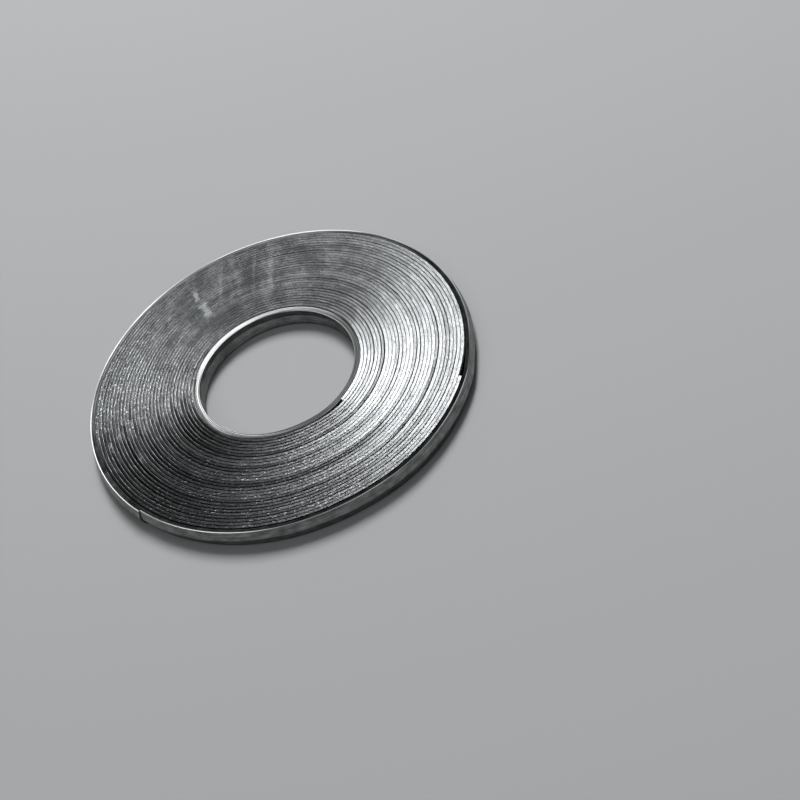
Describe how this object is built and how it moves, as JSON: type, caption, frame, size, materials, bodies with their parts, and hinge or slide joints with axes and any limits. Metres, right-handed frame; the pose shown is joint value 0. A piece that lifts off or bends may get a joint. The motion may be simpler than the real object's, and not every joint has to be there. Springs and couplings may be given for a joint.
{
  "type": "spiral wound gasket",
  "caption": "Flat ring gasket: chevron steel strip wound in a spiral with graphite strip proud of it on both faces, bare spot-welded steel plies at bore and rim.",
  "frame": {"origin": "centre of the ring in the plane of its lower sealing face, where it rests", "axes": "+Z is the axis of the ring, towards its upper sealing face; +X points to the place where every turn of the spiral starts to step outward"},
  "size_m": [0.067, 0.0672, 0.0036],
  "materials": {
    "stainless_strip": "satin",
    "flexible_graphite": "matte"
  },
  "bodies": {
    "root": {"metal_winding": "stainless_strip", "graphite_filler": "flexible_graphite"}
  },
  "joints": []
}
